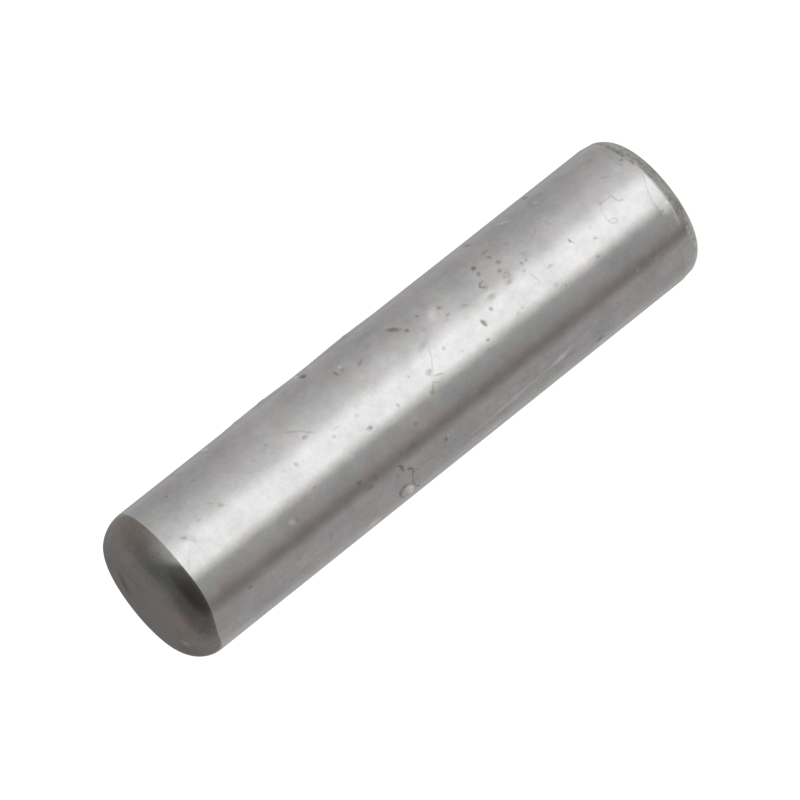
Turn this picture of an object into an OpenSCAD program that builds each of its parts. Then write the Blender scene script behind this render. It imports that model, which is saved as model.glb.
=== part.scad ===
// Dowel pin: a hardened steel pin with a ground round body, a crowned end and a chamfered lead end.
// It stands on its lead end, with its axis along +Z and the origin in the middle of that end's face.

/* [Body] */
// Diameter of the ground body
body_d = 6; // [3:0.5:12]
// Overall length, from the lead end's flat face to the crowned end's flat face
pin_length = 24.3; // [10:0.1:60]

/* [Crowned end] */
// Radius of the rounded edge between the body and the crowned end's flat face
crown_edge_r = 1.2; // [0.2:0.05:1.4]
// Angle to the axis at which that rounded edge leaves the ground body, as a crisp ring
crown_break_deg = 3; // [0:0.5:15]

/* [Lead end] */
// Length of the lead chamfer along the axis
lead_chamfer_length = 0.5; // [0.1:0.05:1.2]
// Angle of the lead chamfer to the axis
lead_chamfer_deg = 9; // [4:0.5:16]
// Radius of the rounded edge between the lead chamfer and the lead end's flat face
lead_edge_r = 0.95; // [0.2:0.05:1]
// Angle to the axis at which that rounded edge leaves the chamfer, as a crisp ring
lead_break_deg = 20; // [16:0.5:45]

/* [Hidden] */
// Fineness of the round surfaces, and of each rounded edge's arc
$fn = 128;
arc_steps = 24;

body_r = body_d / 2;

// Depth of the crowned end below its face, and the radius of that face
crown_height = crown_edge_r * (1 - sin(crown_break_deg));
crown_face_r = body_r - crown_edge_r * cos(crown_break_deg);

// Depth of the lead end's rounded edge above its face, and the radii of the chamfer's foot and of the face
lead_edge_height = lead_edge_r * (1 - sin(lead_break_deg));
lead_foot_r = body_r - lead_chamfer_length * tan(lead_chamfer_deg);
lead_face_r = lead_foot_r - lead_edge_r * cos(lead_break_deg);

// Where the ground wall starts, above the lead end
wall_bottom = lead_edge_height + lead_chamfer_length;

// Points along an arc round a centre, from one angle to another
function arc(centre, r, from_deg, to_deg) = [
    for (i = [0 : arc_steps])
        let (a = from_deg + (to_deg - from_deg) * i / arc_steps)
        centre + r * [cos(a), sin(a)]
];

// Half section of the pin: lead face, its rounded edge, the chamfer, the ground wall,
// the crowned end's rounded edge, and the crowned end's face
function half_section() = concat(
    [[0, 0]],
    arc([lead_face_r, lead_edge_r], lead_edge_r, -90, -lead_break_deg),
    [[body_r, wall_bottom]],
    arc([crown_face_r, pin_length - crown_edge_r], crown_edge_r, crown_break_deg, 90),
    [[0, pin_length]]
);

// The whole pin, turned from one bar
module dowel_pin() {
    color("silver")
    rotate_extrude()
    polygon(half_section());
}

dowel_pin();
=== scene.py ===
import math

import bpy
import numpy as np
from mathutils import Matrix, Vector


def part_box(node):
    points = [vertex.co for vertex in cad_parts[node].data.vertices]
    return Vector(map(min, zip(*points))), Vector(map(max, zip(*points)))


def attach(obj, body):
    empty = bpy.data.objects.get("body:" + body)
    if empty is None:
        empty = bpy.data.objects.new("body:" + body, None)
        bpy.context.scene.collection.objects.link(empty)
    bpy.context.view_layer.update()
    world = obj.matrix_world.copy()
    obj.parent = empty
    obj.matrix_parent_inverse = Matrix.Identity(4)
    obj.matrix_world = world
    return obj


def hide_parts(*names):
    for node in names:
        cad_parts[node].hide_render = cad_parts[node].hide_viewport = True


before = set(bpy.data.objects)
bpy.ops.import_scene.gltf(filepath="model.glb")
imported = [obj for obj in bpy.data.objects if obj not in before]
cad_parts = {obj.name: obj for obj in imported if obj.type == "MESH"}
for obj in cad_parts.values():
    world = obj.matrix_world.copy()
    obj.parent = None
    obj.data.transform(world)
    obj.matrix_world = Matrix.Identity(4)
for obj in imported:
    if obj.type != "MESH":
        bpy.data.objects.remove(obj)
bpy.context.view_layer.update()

# The view
# A long lens a quarter of a metre off looks down on the standing pin at a low angle, and the camera is
# rolled so that the crowned end comes to the lower left of the picture and the lead end to the upper right.
pin_high = np.array(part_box("dowel_pin")[1])
body_r = pin_high[0]
pin_length = pin_high[2]
pin_middle = np.array([0, 0, pin_length / 2])

picture_px = 800
body_width_px = 167.2
view_elevation = math.radians(16)
view_distance = 41 * 2 * body_r
picture_slope = math.radians(38.4855)
middle_right_px, middle_up_px = 1.95, 2.45

view_sin, view_cos = math.sin(view_elevation), math.cos(view_elevation)
slope_sin, slope_cos = math.sin(picture_slope), math.cos(picture_slope)
px_size = 2 * body_r / body_width_px
focal_px = view_distance / px_size
to_camera = np.array([0, -view_cos, view_sin])
up_the_pin = np.array([0, view_sin, view_cos])
across_the_pin = np.cross(to_camera, up_the_pin)
picture_right = slope_sin * across_the_pin - slope_cos * up_the_pin
picture_up = -slope_cos * across_the_pin - slope_sin * up_the_pin

camera_data = bpy.data.cameras.new("view")
camera_data.sensor_width = 36
camera_data.lens = focal_px * camera_data.sensor_width / picture_px
camera_data.clip_start = 0.01
camera = bpy.data.objects.new("view", camera_data)
bpy.context.collection.objects.link(camera)
aim = pin_middle - px_size * (middle_right_px * picture_right + middle_up_px * picture_up)
camera_matrix = np.eye(4)
camera_matrix[:3] = np.stack([picture_right, picture_up, to_camera, aim + view_distance * to_camera], axis=1)
camera.matrix_world = camera_matrix.T.tolist()
bpy.context.scene.camera = camera
bpy.context.scene.view_settings.view_transform = "Standard"

# The pin
# One piece of hardened steel, turned from bar: the wall is ground bright and carries the pits, scratches
# and stains of use, and the crowned end and the chamfered lead end keep the dark, grainy skin of the bar.
# Some of the marks are painted light: a highlight streak along the lower edge of the wall, a shade arc over
# the raised bead, a tint beside the strip light's reflection, and lighter and darker parts of the lead skin.
crown_edge_r = 0.0012
crown_break = math.radians(3)
lead_chamfer_length = 0.0005
lead_chamfer = math.radians(9)
lead_edge_r = 0.00095
lead_break = math.radians(20)
crown_height = crown_edge_r * (1 - math.sin(crown_break))
crown_face_r = body_r - crown_edge_r * math.cos(crown_break)
lead_edge_height = lead_edge_r * (1 - math.sin(lead_break))
lead_foot_r = body_r - lead_chamfer_length * math.tan(lead_chamfer)
lead_face_r = lead_foot_r - lead_edge_r * math.cos(lead_break)
wall_bottom = lead_edge_height + lead_chamfer_length
wall_top = pin_length - crown_height
ring_gap = 0.000012
ring_drop, ring_lean, ring_reach = 0.000045, 0.00008, 0.0009
# The ring's bends: turn from the camera's side in radians, sharpness, height.
ring_bends = [(0.3, 16, -0.000055), (0.95, 24, 0.0001)]
facet_top, facet_turn, facet_lean = 0.00112, math.radians(4.5), math.radians(4)
facet_round, facet_span = 0.447, 1.0
lead_skin_drop, lead_skin_climb = 0.00003, 0.00017
face_rows, lead_arc_rows, cone_rows, wall_rows, crown_arc_rows = 8, 14, 13, 282, 22
wall_columns, crowding = 264, 0.35

ground_grey = (0.551, 0.550, 0.550, 1)
mauve_grey = (0.549, 0.543, 0.553, 1)
blue_grey = (0.544, 0.545, 0.560, 1)
olive_grey = (0.553, 0.551, 0.537, 1)
rosy_grey = (0.574, 0.535, 0.550, 1)
pale_grey = (0.80, 0.80, 0.80, 1)
pit_and_shade_colour = (0.050, 0.046, 0.042, 1)
stain_colour = (0.27, 0.245, 0.205, 1)
yellow_colour = (0.50, 0.47, 0.38, 1)
rust_colour = (0.36, 0.31, 0.25, 1)
blob_white = (0.97, 0.95, 0.93, 1)
skin_grey = (0.301, 0.299, 0.284, 1)
skin_brown = (0.334, 0.288, 0.274, 1)
lead_grey = (0.515, 0.515, 0.497, 1)

# The marks on the side the picture shows, read from it in picture pixels from a point just above the
# picture's
# middle: place along the pin towards the lead end, place across it, length, width, slant in degrees,
# strength.
marks_up_px = 0.6
pits = [
    (-243.5, -69.5, 5, 4, 0, 0.5), (-212, -65.4, 4, 5, 0, 0.35), (-233, -30.5, 5, 5, 0, 0.3),
    (-206, -29, 9, 6, 50, 0.45), (-234, 54, 8, 4, 0, 0.4), (-62, -78.5, 7, 5.5, 20, 1.4),
    (-34, -60, 11, 4, 75, 0.6), (-27, -58.5, 5, 5, 0, 0.4), (-8.7, -53.5, 12, 5, -20, 0.47),
    (-98.4, -30.5, 6, 6, 0, 0.65), (-121.5, -13.5, 5, 7, 0, 0.4), (-75, -12, 6, 4, 30, 0.45),
    (-43.7, -14, 6, 6, 0, 0.3), (-42.5, 4.2, 8, 6.5, 35, 0.34), (-5.4, 4, 5, 6, 0, 0.33),
    (-121.5, 15.9, 6, 5, 0, 0.42), (-3.8, 28.9, 8, 6, 0, 0.3), (-84.4, 39.9, 7, 6, 0, 0.4),
    (-41.8, 54.5, 9, 5, 90, 0.4), (-35.6, 60.3, 7, 5, 0, 0.4), (48, -50, 6, 6, 0, 0.8),
    (65, -54.5, 6, 5, 0, 0.65), (88, -47.4, 7, 6, 0, 0.6), (90, -36.4, 7, 5, 0, 0.55),
    (38.3, -3.4, 8, 10, 0, 0.36), (20.6, -13, 5, 5, 0, 0.35), (65.5, -13, 6, 7, 0, 0.42),
    (78.8, 1, 5, 5, 0, 0.25), (105.6, 8, 6, 5, 0, 0.62), (127.5, -14, 6, 7, 0, 0.6),
    (139, -56.6, 7, 6, 0, 1.0), (140, -49, 8, 6, 90, 0.65), (135, -24.5, 12, 8, 0, 0.42),
    (148, -78.5, 10, 4.5, 25, 0.7), (153, 4, 6, 5, 0, 0.3), (11.5, 60, 6, 6, 0, 0.7),
    (158, -55.8, 7, 5, 90, 0.85), (162.5, -46, 7, 6, 0, 0.5), (158, -39, 6, 6, 0, 0.6),
    (158.8, -24, 12, 6, 0, 0.47), (164, -28, 5, 5, 0, 0.2), (180, -55.8, 6, 5, 0, 0.35),
    (179.6, -31, 6, 6, 0, 0.55), (185.6, -30.8, 6, 6, 0, 0.43), (177, -24, 6, 5, 0, 0.42),
    (200, -10.8, 12, 5, 0, 0.4), (231.5, -19, 5, 7, 0, 0.55), (252.5, -5, 6, 6, 0, 0.3),
    (193, 7, 7, 6, 0, 0.25), (201, 14.5, 5, 5, 0, 0.5), (243.8, 11, 6, 5, 0, 0.4),
    (223, -80, 9, 4, 0, 0.8), (237.5, -73, 6, 4, 0, 0.35), (194, 76.8, 12, 5, 0, 0.7),
    (-256, -26, 8, 5, 25, 0.38), (-134, -48, 5, 5, 0, 0.4), (322.5, -50, 5, 5, 0, 0.7),
    (320, -46, 4, 4, 0, 0.5), (297, -69, 6, 4, 30, 0.3),
]
smudges = [
    (-251, -45.5, 9, 8, 0, 0.35), (-242, -52, 8, 8, 0, 0.35), (-225, -42, 7, 7, 0, 0.35),
    (-254, -24.5, 18, 11, 35, 0.8), (-249, -18, 7, 10, 0, 0.6), (-264, 23, 14, 11, 0, 0.3),
    (-177.5, 62, 8, 7, 0, 0.4), (-135.6, -16.4, 7, 6, 0, 0.4), (-68, -17.6, 12, 5, 20, 0.75),
    (-8.8, -28.5, 9, 6, 0, 0.45), (-13.8, -25.8, 6, 5, 0, 0.35), (-78, 50.5, 10, 6, 0, 1.4),
    (-32.5, 42.4, 7, 7, 0, 0.8), (-50, 58.6, 8, 7, 0, 0.6), (-139, 64, 8, 12, 0, 0.5),
    (85.6, -33, 8, 6, 0, 0.65), (101, 16, 6, 5, 0, 0.5), (109, -33, 11, 6, 30, 0.8),
    (158, -62.6, 12, 5, 0, 1.3), (187.5, -37, 10, 10, 0, 0.7), (194, -48, 8, 6, 0, 0.35),
    (175, -47, 8, 6, 0, 0.3), (287.5, 45, 7, 5, 0, 0.4), (52, -30, 24, 9, -22, 0.5),
    (-153, -44, 8, 7, 0, 0.3), (-155, 31, 5, 9, 0, 0.5), (62, -40, 8, 14, 0, 0.55),
    (150.6, -9.5, 6, 6, 0, 0.3), (255.6, -16.4, 6, 6, 0, 0.3), (160, -34, 34, 26, 0, 0.25),
    (160, -28, 17, 14, 0, 0.45), (136, -37, 12, 11, 0, 0.6), (7, -62, 16, 9, -40, 0.4),
    (75, -61, 12, 18, 0, 0.6), (54, -57, 12, 6, 30, 0.35), (133, -66, 14, 10, 0, 0.3),
    (168, -59, 14, 14, 40, 0.4), (98, -62, 12, 10, 0, 0.25), (116, -62, 14, 12, 0, 0.25),
    (-222, -80, 12, 6, 30, 0.8), (-186, -80, 12, 6, 30, 0.3), (-70, 43, 8, 14, -25, 0.4),
    (-28, -45, 12, 8, 0, 0.25), (-20, 44.5, 12, 7, 0, 0.4), (70, 74.6, 18, 4, 0, 0.35),
    (40, 74.6, 16, 4, 0, 0.35), (240, 32, 14, 10, 0, 0.15), (-62, -78.5, 9, 7, 20, 0.6),
    (139, -56.6, 9, 8, 0, 0.5),
]
stains = [
    (38, -58.8, 18, 7, 37, 1.0), (30, 15, 9, 7, -35, 0.45), (163, -46, 10, 8, 0, 0.2),
    (-84, 40, 10, 8, 0, 0.2), (322, 16, 10, 5, 0, 0.4),
]
yellowed = [
    (42, -55, 40, 24, 30, 0.8), (33, 10, 26, 18, -35, 1.0), (-135, -43, 24, 18, 0, 0.5),
    (114, -29, 22, 10, 40, 0.7), (-52, 77, 26, 16, 0, 0.6), (-62, -79, 22, 10, 0, 0.6),
    (325, 13, 26, 12, 0, 0.8), (150, -35, 60, 40, 0, 0.3), (110, -8, 17, 15, 0, 0.35),
    (-86, 13, 30, 8, 0, 0.35), (-210, 0, 40, 30, 0, 0.1),
]
rust = [(113, -7.6, 11, 5, 80, 1.0)]
# Among these pale spots, the long streak at 92, 70 and its brighter part at 153, 67.3 are a painted
# highlight: the reflection that runs along the lower edge of the wall.
pale_spots_and_highlights = [
    (-161, 29, 9, 9, 0, 0.85), (-256, 7, 5, 4, 0, 0.3), (-184, -82, 10, 5, 0, 1.0),
    (-97, 81, 20, 6, 0, 0.9), (35, -18, 16, 11, 0, 0.2), (78, -47, 22, 11, -45, 0.5),
    (153, 67.3, 36, 6, -5, 0.85), (191, -74, 19, 4, 28, 0.6), (64.4, 40.5, 5, 5, 0, 0.4),
    (267, 46.8, 6, 6, 0, 0.6), (289, 49, 6, 5, 0, 0.4), (16, 58, 5, 5, 0, 0.5),
    (-27, -63, 6, 5, 0, 0.7), (-69, -82.5, 7, 4, 0, 1.1), (332, 12, 6, 6, 0, 0.55),
    (327, 16, 16, 14, 0, 0.3), (92, 70, 150, 4, -2, 0.45), (55, 80, 26, 5, 0, 0.55),
    (195, 81, 36, 4, 0, 0.6), (331, 28, 36, 4, 100, 0.6), (-134, -42, 6, 5, 0, 0.35),
    (228, -70, 6, 5, 0, 0.8), (-50, -81, 10, 5, 0, 0.5), (21, 57, 5, 4, 0, 0.3),
    (-45, 64, 16, 9, 0, 0.15),
]
# A white, matt blob on the raised bead near the lower edge.
white_blobs = [(-51.5, 77.2, 15.5, 10, 0, 1.0), (-48.5, 77, 9, 8, 0, 1.0)]
# Scratches, a fibre stuck to the wall, the edge of a small facet on the lead chamfer, and an arc of painted
# shade,
# read the same way: width, strength, and the points along each line.
scratches_and_shade = [
    (2.6, 0.35, [(-217, -39), (-210, -34)]),
    (2.4, 0.18, [(-257, -14), (-262.5, -9.5), (-272.5, 3)]),
    (3.0, 0.12, [(-164, 19), (-159, 13), (-154, 11.5), (-149, 8)]),
    (3.6, 0.4, [(-111, -46), (-98, -37), (-88, -27)]),
    (3.2, 0.8, [(-42.7, 51.4), (-40.2, 54.6), (-42.3, 58.2)]),
    (3.0, 0.8, [(-37.9, 59.1), (-32.9, 61.8), (-35, 65.3), (-40.9, 71.1), (-41.3, 77.3), (-37.3, 80.5)]),
    # Painted shade: the dark arc over the top of the raised bead with the white blob.
    (4.2, 1.1, [(-60, 76.5), (-58, 73), (-53.5, 71.2), (-48.5, 71.4)]),
    (3.5, 0.35, [(-66, 43), (-69, 49.5)]),
    (3.6, 0.3, [(-33, 77.2), (-20, 79.6)]),
    (3.0, 0.4, [(-7, 80.8), (9, 81.5)]),
    (3.6, 0.2, [(5, 74.2), (40, 74.7), (72, 74.6), (105, 74.4), (140, 75.2)]),
    (3.5, 0.45, [(204, 78.8), (197, 77.6), (188, 76.3), (172, 79)]),
    (3.0, 0.25, [(182, 60), (178.5, 65)]),
    (2.8, 0.3, [(181, -76), (192, -69.5)]),
    (2.8, 0.35, [(299, -79.5), (305, -75.5)]),
    (2.4, 0.35, [(55, -23), (50.6, -12), (43, -2)]),
    (3.0, 0.45, [(41, 2.4), (50.6, 6.8)]),
    (2.6, 0.4, [(36, 6.8), (43, 11.8)]),
    (3.0, 0.4, [(37.5, 6.8), (30, 14.3)]),
    (4.2, 0.6, [(138, -41), (134, -41), (132.5, -37.6), (137.5, -33.9)]),
    (2.2, 0.3, [(142.5, 8.6), (148.8, 3.6)]),
    (3.2, 0.3, [(157, -31), (160, -34), (164, -32), (162, -28.5), (157, -30)]),
    (2.6, 0.3, [(204, -45), (209, -46), (213, -51)]),
    (2.6, 0.3, [(222, -52), (227, -43)]),
    (3.4, 0.3, [(180.6, -17), (183, -7)]),
    (3.0, 0.4, [(231.5, -19), (234, -13)]),
    (2.6, 0.35, [(252.5, -5), (256, -3)]),
    (2.2, 0.25, [(258.8, -25), (266, -19.5)]),
    (2.6, 0.4, [(295.6, -48), (302, -44.5)]),
    (3.0, 0.42, [(299, -17), (295, -19.5), (293, -23), (291.9, -28.5), (285, -28), (278, -28.5), (278, -31)]),
    (3.0, 0.25, [(278, -28), (275, -21), (273.8, -10), (276, -5.5), (280, -4.3)]),
    (3.0, 0.25, [(280, -4.3), (282.5, -6), (280, -9), (273.8, -10)]),
    (3.8, 0.3, [(331.5, -26), (328, -19), (325, -12.5), (322.8, -6), (321.2, 1), (320.6, 8), (321, 15)]),
    (2.4, 0.12, [(326, -21), (322, -12), (319.3, -3), (318.3, 8)]),
]
# The larger dents, and low bumps along the upper outline, with their depth in metres as the strength.
dents = [
    (-51, 77.2, 15.5, 10, 0, -0.00012), (-62, -78.5, 8, 7, 0, 0.00004), (-42.5, 4.2, 8, 7, 0, 0.00001),
    (136, -37, 12, 12, 0, 0.00001), (135, -24.5, 14, 10, 0, 0.00001), (52, -30, 26, 10, -22, 0.000008),
    (113, -7.6, 12, 7, 75, 0.00001), (38.8, -3.9, 10, 9, 0, 0.00001), (-98.4, -30.5, 8, 8, 0, 0.00001),
    (-118, -83.4, 110, 5, 0, -0.000048), (-8, -83.2, 100, 5, 0, -0.000038),
    (-20, -83.3, 420, 6, 0, -0.000015), (-143, -83.6, 8, 3, 0, -0.00002),
    (-110, -83.4, 14, 3, 0, -0.00002), (-4.5, -83.2, 8, 3, 0, -0.00002),
]


def edge_arc(centre_r, centre_z, arc_r, start, end, count):
    """Radius and height along an arc of the half section: the centre plus arc_r times cosine and sine."""
    angle = np.linspace(start, end, count)
    return centre_r + arc_r * np.cos(angle), centre_z + arc_r * np.sin(angle)


def flat_rows(r, z, count):
    """Radii from near the axis out to r, all at height z."""
    return np.linspace(r / count, r, count), np.full(count, z)


def turned_surface(radius, height, turn):
    """A turned surface: each point lies at its radius and height, turned from the camera's side of the axis
    (-Y) towards -X. Rows run from the lower pole to the upper one, and a point closes each pole."""
    points = np.stack([-radius * np.sin(turn), -radius * np.cos(turn), height], axis=-1)
    rows, columns = radius.shape
    index = np.arange(rows * columns).reshape(rows, columns)
    beside = np.roll(index, -1, axis=1)
    quads = np.stack([index[:-1], index[1:], beside[1:], beside[:-1]], axis=-1).reshape(-1, 4)
    low_pole, high_pole = rows * columns, rows * columns + 1
    low_fan = np.stack([np.full(columns, low_pole), index[0], beside[0]], axis=-1)
    high_fan = np.stack([index[-1], np.full(columns, high_pole), beside[-1]], axis=-1)
    poles = np.array([[0, 0, height[0, 0]], [0, 0, height[-1, 0]]])
    vertices = np.concatenate([points.reshape(-1, 3), poles])
    return vertices.tolist(), quads.tolist() + low_fan.tolist() + high_fan.tolist()


def on_wall(along, across):
    """Where points of the picture lie on the unrolled wall: the arc length round from the camera's side, and
    the height, by undoing the perspective of the view."""
    rise_px = middle_up_px - marks_up_px
    along = along - middle_right_px * slope_cos - rise_px * slope_sin
    across = across - middle_right_px * slope_sin + rise_px * slope_cos
    depth = view_distance - body_r
    for _ in range(4):
        turn = np.arcsin(np.clip(across * depth / (focal_px * body_r), -0.999, 0.999))
        near = body_r * np.cos(turn)
        sight = along / focal_px
        back = (sight * (view_distance - near * view_cos) - near * view_sin) / (view_cos - sight * view_sin)
        depth = view_distance + back * view_sin - near * view_cos
    return np.stack([body_r * turn, pin_middle[2] - back], axis=-1)


def wall_ellipses(marks):
    """Centres, half sizes, turns and strengths of the marks once they are laid on the unrolled wall: the
    wall's slant to the view stretches each picture ellipse, which so takes new axes."""
    along, across, length, width, slant, strength = np.array(marks, float).T
    centre = on_wall(along, across)
    slant = np.radians(slant)
    least_facing = 0.2
    facing = np.clip(np.cos(centre[:, 0] / body_r), least_facing, 1)
    half_axes = np.stack([
        np.stack([length * np.sin(slant) / facing, width * np.cos(slant) / facing], axis=-1),
        np.stack([-length * np.cos(slant) / view_cos, width * np.sin(slant) / view_cos], axis=-1),
    ], axis=1) * px_size / 2
    axes, sizes, _ = np.linalg.svd(half_axes)
    return centre, sizes, np.arctan2(axes[:, 1, 0], axes[:, 0, 0]), strength


def wall_lines(lines):
    """The same for each straight length of the lines: a long thin ellipse that reaches past its two ends."""
    reach = 0.62
    runs = [(*a, *b, width, strength) for width, strength, path in lines for a, b in zip(path, path[1:])]
    first_along, first_across, last_along, last_across, width, strength = np.array(runs).T
    first, last = on_wall(first_along, first_across), on_wall(last_along, last_across)
    run = last - first
    half_width = width * px_size / 2
    sizes = np.stack([np.linalg.norm(run, axis=1) * reach + half_width, half_width], axis=-1)
    return (first + last) / 2, sizes, np.arctan2(run[:, 1], run[:, 0]), strength


lead_face = flat_rows(lead_face_r, 0.0, face_rows)
lead_arc = edge_arc(lead_face_r, lead_edge_r, lead_edge_r, -math.pi / 2, -lead_break, lead_arc_rows)
lead_cone = (
    np.linspace(lead_foot_r, body_r, cone_rows),
    np.linspace(lead_edge_height, wall_bottom, cone_rows),
)
wall = np.full(wall_rows, body_r), np.linspace(wall_bottom + ring_gap, wall_top - ring_gap, wall_rows)
crown_edge_z = pin_length - crown_edge_r
crown_arc = edge_arc(crown_face_r, crown_edge_z, crown_edge_r, crown_break, math.pi / 2, crown_arc_rows)
crown_face = flat_rows(crown_face_r, pin_length, face_rows)
section_r, section_z = (
    np.concatenate([
        lead_face[i][:-1],
        lead_arc[i],
        lead_cone[i][1:],
        wall[i],
        crown_arc[i],
        crown_face[i][-2::-1],
    ])
    for i in (0, 1)
)
# The columns stand closer together on the camera's side.
even_turn = np.linspace(-math.pi, math.pi, wall_columns, endpoint=False)
crowded_turn = even_turn - crowding * np.sin(even_turn)
height_grid, turn_grid = np.meshgrid(section_z, crowded_turn, indexing="ij")
radius_grid = np.broadcast_to(section_r[:, None], height_grid.shape)

# The dents and bumps press the wall in or out with a smooth bowl over each ellipse.
dent_centre, dent_size, dent_turn, dent_depth = wall_ellipses(dents)
dent_x = body_r * turn_grid[..., None] - dent_centre[:, 0]
dent_y = height_grid[..., None] - dent_centre[:, 1]
dent_u = (dent_x * np.cos(dent_turn) + dent_y * np.sin(dent_turn)) / dent_size[:, 0]
dent_v = (dent_y * np.cos(dent_turn) - dent_x * np.sin(dent_turn)) / dent_size[:, 1]
bowl = np.clip(1 - dent_u**2 - dent_v**2, 0, None) ** 1.5
radius_grid = radius_grid - (dent_depth * bowl).sum(axis=-1)

# The facet leans a few degrees further in than the chamfer it cuts, and the ring of the crowned end is ground
# a little askew, with two bends on the picture's lower side.
facet_edge = facet_top - body_r * (1 - np.cos(turn_grid - facet_turn)) / facet_round
facet_depth = np.clip(facet_edge - np.maximum(height_grid, lead_edge_height), 0, None) * math.tan(facet_lean)
facet_depth = facet_depth * np.clip(height_grid / lead_edge_height, 0, 1) * (np.abs(turn_grid) < facet_span)
radius_grid = radius_grid - facet_depth
ring_shift = ring_lean * np.sin(turn_grid) - ring_drop
for bend_turn, sharpness, bend_height in ring_bends:
    ring_shift = ring_shift + bend_height * np.clip(np.cos(turn_grid - bend_turn), 0, None) ** sharpness
height_grid = height_grid + ring_shift * np.clip(1 - np.abs(height_grid - wall_top) / ring_reach, 0, 1)

pin_mesh = bpy.data.meshes.new("pin_steel")
vertices, faces = turned_surface(radius_grid, height_grid, turn_grid)
pin_mesh.from_pydata(vertices, [], faces)
pin_mesh.shade_smooth()
pin = bpy.data.objects.new("pin_steel", pin_mesh)
bpy.context.collection.objects.link(pin)


class Wire:
    """A node's output that takes part in arithmetic: each operator adds one Math node to its tree."""

    def __init__(self, socket):
        self.socket = socket

    def node(self, kind, settings, sockets, output=0):
        """Adds a node to the same tree: its settings first, then a value or a wire for each socket."""
        tree = self.socket.id_data
        made = tree.nodes.new(kind)
        for name, value in settings.items():
            if name == "stops":
                ramp = made.color_ramp.elements
                while len(ramp) < len(value):
                    ramp.new(1.0)
                for stop, (position, level) in zip(ramp, value):
                    stop.position = position
                    stop.color = (level, level, level, 1)
            else:
                setattr(made, name, value)
        for key, value in sockets.items():
            if isinstance(value, Wire):
                tree.links.new(value.socket, made.inputs[key])
            else:
                made.inputs[key].default_value = value
        return Wire(made.outputs[output])

    def math(self, operation, *others):
        """A Math node on this wire and any others."""
        return self.node("ShaderNodeMath", {"operation": operation}, dict(enumerate((self, *others))))

    def part(self, number):
        """The x, y or z of this vector, as number is 0, 1 or 2."""
        return self.node("ShaderNodeSeparateXYZ", {}, {0: self}, number)

    def step(self, start, end):
        """0 before start and 1 past end, with a smooth rise between them."""
        return self.node(
            "ShaderNodeMapRange",
            {"interpolation_type": "SMOOTHSTEP"},
            {0: self, 1: start, 2: end},
        )

    def mix(self, first, second):
        """The first colour where this wire is 0, and the second where it is 1."""
        return self.node("ShaderNodeMix", {"data_type": "RGBA"}, {0: self, 6: first, 7: second}, 2)

    def __add__(self, other):
        return self.math("ADD", other)

    def __sub__(self, other):
        return self.math("SUBTRACT", other)

    def __rsub__(self, other):
        return self.node("ShaderNodeMath", {"operation": "SUBTRACT"}, {0: other, 1: self})

    def __mul__(self, other):
        return self.math("MULTIPLY", other)

    def __truediv__(self, other):
        return self.math("DIVIDE", other)

    __radd__ = __add__
    __rmul__ = __mul__


steel = bpy.data.materials.new("ground_steel")
steel.use_nodes = True
steel_nodes = steel.node_tree.nodes
shader = steel_nodes["Principled BSDF"]
place = Wire(steel_nodes.new("ShaderNodeTexCoord").outputs["Object"])
east, north, height = (place.part(number) for number in range(3))


def noise(scale, detail, evenness=0.5):
    """Cloudy noise with clouds of about one metre / scale, and finer ones within them."""
    sockets = {"Vector": place, "Scale": scale, "Detail": detail, "Roughness": evenness}
    return place.node("ShaderNodeTexNoise", {}, sockets)


# The wall unrolled, as arc length round from the camera's side and height, with ragged edges for the marks.
wall_x = body_r * (0 - east).math("ARCTAN2", 0 - north)
stray_x, stray_y = noise(5000, 1) - 0.5, noise(5600, 1) - 0.5
spot_ragged, line_ragged = 0.00013, 0.00006
wall_spot = place.node(
    "ShaderNodeCombineXYZ", {}, {0: wall_x + spot_ragged * stray_x, 1: height + spot_ragged * stray_y}
)
wall_line = place.node(
    "ShaderNodeCombineXYZ", {}, {0: wall_x + line_ragged * stray_x, 1: height + line_ragged * stray_y}
)


def blot(spot, middle, half_size, turn=0.0):
    """1 at the middle of an ellipse, falling evenly to 0 at its edge, and 0 beyond it."""
    settings = {"vector_type": "TEXTURE"}
    sockets = {"Vector": spot, "Location": middle, "Rotation": (0, 0, turn), "Scale": half_size}
    inside = place.node("ShaderNodeMapping", settings, sockets)
    return place.node("ShaderNodeTexGradient", {"gradient_type": "SPHERICAL"}, {0: inside}, 1)


def marked(ellipses, spot):
    """How strongly a set of ellipses marks a spot of the wall: the sum of their blots by strength."""
    total = 0
    for (x, y), (half_length, half_width), turn, strength in zip(*ellipses):
        mark = blot(spot, (x, y, 0), (half_length, half_width, 1), turn)
        total = mark.math("MULTIPLY_ADD", float(strength), total)
    return total


# Where each finish lies: the skin of both ends, then the marks of the wall and those of the crowned end.
ring_line = height + (ring_lean / body_r) * east
for bend_turn, sharpness, bend_height in ring_bends:
    by_bend = (-math.sin(bend_turn) / body_r) * east - (math.cos(bend_turn) / body_r) * north
    ring_line = ring_line - bend_height * by_bend.math("MAXIMUM", 0).math("POWER", sharpness)
crown_skin = ring_line.step(wall_top - ring_drop - ring_gap, wall_top - ring_drop + ring_gap)
lead_line = height + lead_skin_drop - lead_skin_climb * east.step(0.0010, 0.0017)
lead_skin = 1 - lead_line.step(lead_edge_height - 3 * ring_gap, lead_edge_height)
skin = crown_skin.math("MAXIMUM", lead_skin)
pit_gain, scratch_and_shade_gain, stain_gain, rust_gain, pale_and_highlight_gain = 1.7, 1.5, 1.5, 1.8, 1.2
pits_and_shade = pit_gain * marked(wall_ellipses(pits), wall_spot)
pits_and_shade = pits_and_shade + scratch_and_shade_gain * marked(wall_lines(scratches_and_shade), wall_line)
pits_and_shade = pits_and_shade.math("MINIMUM", 1)
smudge = marked(wall_ellipses(smudges), wall_spot).math("MINIMUM", 1)
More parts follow.
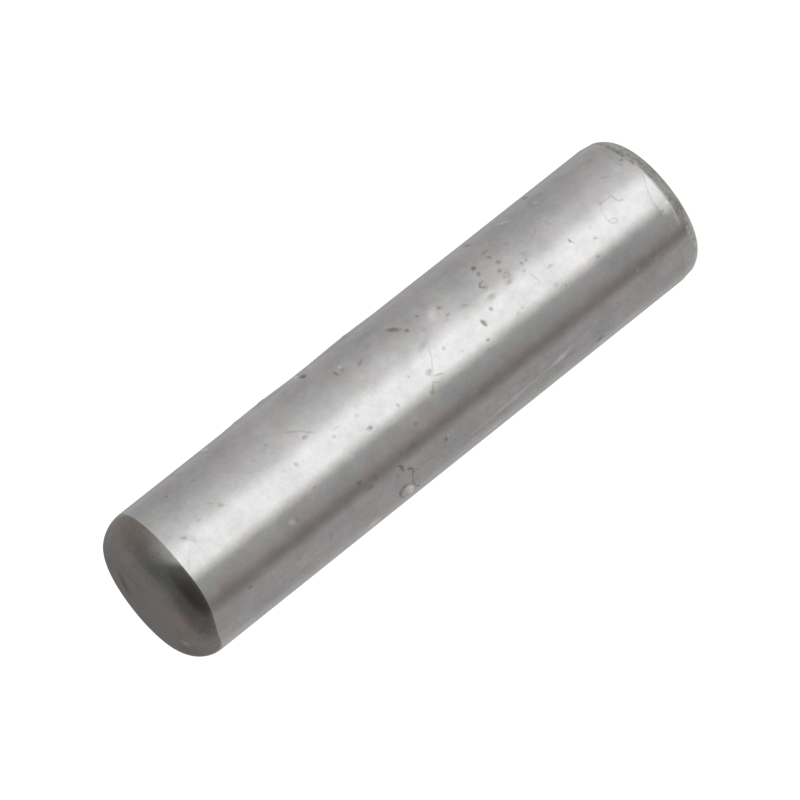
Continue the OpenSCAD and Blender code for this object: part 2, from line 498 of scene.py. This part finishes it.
stain = (stain_gain * marked(wall_ellipses(stains), wall_spot)).math("MINIMUM", 1)
yellow = marked(wall_ellipses(yellowed), wall_spot).math("MINIMUM", 1)
rusty = (rust_gain * marked(wall_ellipses(rust), wall_line)).math("MINIMUM", 1)
pale_and_highlight = (pale_and_highlight_gain * marked(wall_ellipses(pale_spots_and_highlights), wall_spot)).math("MINIMUM", 1)
white_blob = marked(wall_ellipses(white_blobs), wall_spot).step(0.08, 0.28)
face_streak = blot(place, (0.00097, 0.00052, pin_length), (0.0010, 0.00028, 0.0004), math.radians(-48))
face_line = blot(place, (0.00082, -0.00077, pin_length), (0.0007, 0.0002, 0.0004), math.radians(16))
crown_spot = blot(place, (0.00128, -0.00263, pin_length - 0.0008), (0.0003, 0.0003, 0.0003))
brown_top = blot(place, (0.0020, -0.0017, pin_length - 0.00037), (0.0014, 0.0014, 0.0014))
brown_face = blot(place, (-0.00125, -0.0016, pin_length - 0.0001), (0.0014, 0.0013, 0.0010))
brown_rim = blot(place, (0.0003, 0.0008, pin_length), (0.0013, 0.0007, 0.0008))
pale_rim = blot(place, (-0.0020, -0.0008, pin_length - 0.00006), (0.0003, 0.0003, 0.0003))

# On the side away from the picture a thinner scatter of the same pits.
far_cells_per_metre, far_strength = 520.0, 0.7
far_spot = place.node("ShaderNodeCombineXYZ", {}, {0: body_r * east.math("ARCTAN2", north), 1: height})
cells = {"Vector": far_spot, "Scale": far_cells_per_metre}
far_pit = 1 - place.node("ShaderNodeTexVoronoi", {"voronoi_dimensions": "2D"}, cells, 0).step(0.02, 0.06)
far_share = place.node("ShaderNodeTexVoronoi", {"voronoi_dimensions": "2D"}, cells, 1).step(0.45, 0.8)
far_side = north.step(-0.0002, 0.0006)
pits_and_shade = pits_and_shade.math("MAXIMUM", far_strength * far_pit * far_share * far_side)

# Clouds of tone and tint, and the zones of the wall.
mottle = noise(900, 5, 0.85)
broad = noise(330, 1)
grain = noise(10000, 3, 0.7)
lead_grain = noise(6000, 2)
tint = noise(850, 3, 0.6)
other_tint = noise(700, 2)
skin_cloud = noise(1000, 2)
waves = noise(550, 2)
streak_spot = place.node("ShaderNodeCombineXYZ", {}, {0: wall_x, 1: 0.2 * height})
streaks = place.node("ShaderNodeTexNoise", {}, {"Vector": streak_spot, "Scale": 5000, "Detail": 2})
glint_x = 0.0003
beside_strip = (glint_x - east).math("ABSOLUTE").step(0.0004, 0.0011)
lower_side, upper_side = (0 - east).step(0.0016, 0.0024), east.step(0.0022, 0.0028)
# The skin's colour, then the wall's, and the shade that both are multiplied by.
brown = 0.9 * brown_top + 0.8 * brown_face + 0.7 * brown_rim + 1.4 * (skin_cloud - 0.5)
skin_colour = brown.step(0.05, 0.55).mix(skin_grey, skin_brown)
skin_colour = (0.4 * crown_spot).mix(skin_colour, yellow_colour)
skin_colour = (face_streak + 0.4 * face_line).mix(skin_colour, pit_and_shade_colour)
skin_colour = (0.5 * pale_rim).mix(skin_colour, pale_grey)
skin_colour = lead_skin.mix(skin_colour, lead_grey)
# Where the strip light is mirrored the wall keeps a plain grey; beside that band it takes a mauve base and
# cloudy tints, a painted tint of what the steel mirrors there.
wall_colour = beside_strip.mix(ground_grey, mauve_grey)
wall_colour = (beside_strip * other_tint.step(0.48, 0.60)).mix(wall_colour, olive_grey)
wall_colour = (beside_strip * tint.step(0.52, 0.66)).mix(wall_colour, rosy_grey)
wall_colour = (beside_strip * (1 - tint.step(0.34, 0.46))).mix(wall_colour, blue_grey)
wall_colour = (0.6 * yellow).mix(wall_colour, yellow_colour)
# Pale spots, and the painted highlight streak along the lower edge of the wall.
wall_colour = pale_and_highlight.mix(wall_colour, pale_grey)
wall_colour = (0.85 * stain).mix(wall_colour, stain_colour)
# Pits, scratches and smudges darken the wall, and so does the painted shade arc by the raised bead.
wall_colour = (0.42 * pits_and_shade + 0.3 * smudge).math("MINIMUM", 1).mix(wall_colour, pit_and_shade_colour)
wall_colour = (0.65 * rusty).mix(wall_colour, rust_colour)
wall_colour = white_blob.mix(wall_colour, blob_white)
colour = skin.mix(wall_colour, skin_colour)
specks = grain.step(0.36, 0.64) - 0.5
shade = 0.985 + 0.62 * (mottle - 0.5) + 0.22 * (broad - 0.5)
shade = shade + skin * (0.12 * specks + 0.25 * (skin_cloud - 0.5) - 0.15 * brown_top)
lead_grain_and_painted_light = 0.35 * (lead_grain.step(0.36, 0.64) - 0.5)
# Painted highlight: the lead skin is lighter in a narrow band where east is near zero, where the strip light
# is mirrored on the camera's side.
lead_grain_and_painted_light = lead_grain_and_painted_light + 0.2 * (1 - east.math("ABSOLUTE").step(0.0002, 0.0007))
# Painted shade: the lead skin is darker on the chamfer above its edge.
shade = shade + lead_skin * (lead_grain_and_painted_light - 0.25 * height.step(lead_edge_height - 0.00004, lead_edge_height))
shade = shade + lower_side * (0.18 * (streaks - 0.5) + 0.10 * specks) + 0.22 * upper_side * (streaks - 0.5)
shade_colour = place.node("ShaderNodeCombineXYZ", {}, {0: shade, 1: shade, 2: shade})
shaded = {"data_type": "RGBA", "blend_type": "MULTIPLY"}
colour = place.node("ShaderNodeMix", shaded, {0: 1.0, 6: colour, 7: shade_colour}, 2)
roughness = 0.11 + 0.03 * mottle + 0.04 * skin + 0.2 * pits_and_shade + 0.15 * stain + 0.3 * rusty + 0.35 * white_blob
relief = (0.0002 + 0.001 * skin) * grain + 0.019 * waves
bumped = place.node("ShaderNodeBump", {}, {"Distance": 0.001, "Height": relief})
links = steel.node_tree.links
links.new(colour.socket, shader.inputs["Base Color"])
links.new(roughness.socket, shader.inputs["Roughness"])
links.new((1 - 0.5 * rusty - white_blob).math("MAXIMUM", 0).socket, shader.inputs["Metallic"])
links.new(bumped.socket, shader.inputs["Normal"])
pin_mesh.materials.append(steel)

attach(pin, "root")
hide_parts("dowel_pin")

# The floor and backdrop
# A white paper sweep: a round floor that turns up into a wall all round. The paper shows to the camera alone,
# so that the steel mirrors the soft lights of the studio, and round its foot it takes the pin's shadow.
sweep_r, sweep_corner_r, sweep_height = 0.8, 0.3, 0.8
floor_radii = [0.01, 0.1, 0.3]
corner_rows, sweep_columns = 24, 96
shadow_r, clear_r = 0.015, 0.03
white, black = (1, 1, 1, 1), (0, 0, 0, 1)
shadow_paper, shadow_glow = (0.7, 0.7, 0.7, 1), (0.8, 0.8, 0.8, 1)
paper_strength = 1.06
sweep_arc = edge_arc(sweep_r - sweep_corner_r, sweep_corner_r, sweep_corner_r, -math.pi / 2, 0, corner_rows)
sweep_r_rows = np.concatenate([floor_radii, sweep_arc[0], [sweep_r, sweep_r / 2]])
sweep_z_rows = np.concatenate([np.zeros(len(floor_radii)), sweep_arc[1], [sweep_height, sweep_height]])
sweep_turn = np.linspace(-math.pi, math.pi, sweep_columns, endpoint=False)
sweep_z_grid, sweep_turn_grid = np.meshgrid(sweep_z_rows, sweep_turn, indexing="ij")
sweep_r_grid = np.broadcast_to(sweep_r_rows[:, None], sweep_z_grid.shape)
sweep_mesh = bpy.data.meshes.new("paper_sweep")
vertices, faces = turned_surface(sweep_r_grid, sweep_z_grid, sweep_turn_grid)
sweep_mesh.from_pydata(vertices, [], faces)
sweep_mesh.flip_normals()
sweep_mesh.shade_smooth()
sweep = bpy.data.objects.new("paper_sweep", sweep_mesh)
bpy.context.collection.objects.link(sweep)
for seen_by in ("glossy", "diffuse", "transmission", "shadow"):
    setattr(sweep, "visible_" + seen_by, False)

paper = bpy.data.materials.new("white_paper")
paper.use_nodes = True
paper_shader = paper.node_tree.nodes["Principled BSDF"]
on_paper = Wire(paper.node_tree.nodes.new("ShaderNodeTexCoord").outputs["Object"])
from_pin = on_paper.node("ShaderNodeVectorMath", {"operation": "LENGTH"}, {0: on_paper}, 1)
by_pin = 1 - from_pin.step(shadow_r, clear_r)
paper_colour = by_pin.mix(black, shadow_paper)
paper_glow = by_pin.mix(white, shadow_glow)
paper.node_tree.links.new(paper_colour.socket, paper_shader.inputs["Base Color"])
paper.node_tree.links.new(paper_glow.socket, paper_shader.inputs["Emission Color"])
paper_shader.inputs["Roughness"].default_value = 1
paper_shader.inputs["Specular IOR Level"].default_value = 0
paper_shader.inputs["Emission Strength"].default_value = paper_strength
sweep_mesh.materials.append(paper)

# The studio
# A tall strip light stands behind the camera, with its spill to one side, a dark gap to the other and an even
# grey tent all round. Above the strip's top edge the room in front of the pin is dark, with a soft box aside.
brightest, strip_lean = 1.5, 0.4
# The strip and its surroundings: bearing in degrees from the camera's side, and level.
strip_levels = [
    (-180, 0.30), (-162, 0.44), (-145, 0.54), (-115, 0.52), (-84, 0.64), (-45, 0.96), (-23, 1.49),
    (6.5, 1.49), (17, 0.92), (24.5, 0.55), (36, 0.49), (48, 0.43), (60, 0.30), (66, 0.27), (71, 0.31),
    (82, 0.46), (130, 0.47), (140, 0.49), (150, 0.53), (162, 0.46), (180, 0.30),
]
tent_level, tent_fall = 0.40, 0.26
# Soft dark shapes: depth, bearing and rise of the middle in degrees, and the cosines from it between which
# each one fades in.
dark_shapes = [
    (0.13, 18, -7, 0.5, 0.77), (0.18, 54, 28, 0.43, 1.0), (0.14, -51, 46, 0.63, 1.0),
]
box_level, box_spill = 0.96, 0.07
box_bearing = math.radians(-13.5)
box_lean, box_soft = 0.43, 0.12
underneath_level, floor_glow_level = 0.44, 0.08
brown_below = 0.26
warm_light, yellow_light = (1.022, 1.0, 0.978, 1), (1.0, 1.0, 0.972, 1)
red_light, brown_light = (1.06, 0.99, 0.95, 1), (1.13, 0.98, 0.93, 1)

world = bpy.data.worlds.new("studio")
world.use_nodes = True
bpy.context.scene.world = world
background = world.node_tree.nodes["Background"]
direction = Wire(world.node_tree.nodes.new("ShaderNodeTexCoord").outputs["Generated"])
aside = 0 - direction.part(0)
forwards = 0 - direction.part(1)
upwards = direction.part(2)
# The bearing runs from 0 to 1 once round, with 0.5 on the camera's side, and the rise is in degrees.
bearing = aside.math("ARCTAN2", forwards) / (2 * math.pi) + 0.5
rise = upwards.math("ARCSINE") * (180 / math.pi)

strip_stops = [((degrees + 180) / 360, level / brightest) for degrees, level in strip_levels]
leaning = bearing.step(0.5, 0.62) * (1 - bearing.step(0.75, 0.95))
strip_bearing = bearing + (strip_lean / 360) * (rise + math.degrees(view_elevation)) * leaning
strip = brightest * direction.node("ShaderNodeValToRGB", {"stops": strip_stops}, {0: strip_bearing})
room = tent_level - tent_fall * (0 - forwards).math("MAXIMUM", 0).math("POWER", 8)
for depth, shape_bearing, shape_rise, start, end in dark_shapes:
    shape_turn, shape_tilt = math.radians(shape_bearing), math.radians(shape_rise)
    level_with = math.cos(shape_turn) * forwards + math.sin(shape_turn) * aside
    towards_shape = math.cos(shape_tilt) * level_with + math.sin(shape_tilt) * upwards
    room = room - depth * towards_shape.step(start, end)
past_box = math.cos(box_bearing) * aside - math.sin(box_bearing) * forwards + box_lean * upwards
box_share = box_spill + (1 - upwards.step(-0.6, 1.25)) * forwards.math("MAXIMUM", 0).math("POWER", 2)
room = room + box_level * (0 - past_box).step(-box_soft, box_soft) * box_share
floor_glow = rise.step(-20, -34) * bearing.step(0.73, 0.83) * floor_glow_level
under = rise.step(-40, -70)
below = strip + floor_glow
below = below + under * (underneath_level - below)
over_strip = rise.step(-12, -8)
studio_level = below + over_strip * (room - below)
brown_dark = over_strip * (brown_below - room).step(0, 0.2)
world.node_tree.links.new(studio_level.socket, background.inputs["Strength"])
warm = bearing.step(0.63, 0.69) + 0.5 * (1 - bearing.step(0.32, 0.44))
light_tint = warm.mix(white, warm_light)
yellowish = bearing.step(0.495, 0.545) * (1 - bearing.step(0.63, 0.69))
light_tint = yellowish.mix(light_tint, yellow_light)
red_gap = strip_bearing.step(0.61, 0.65) * (1 - strip_bearing.step(0.69, 0.74))
light_tint = red_gap.mix(light_tint, red_light)
light_tint = brown_dark.mix(light_tint, brown_light)
world.node_tree.links.new(light_tint.socket, background.inputs["Color"])
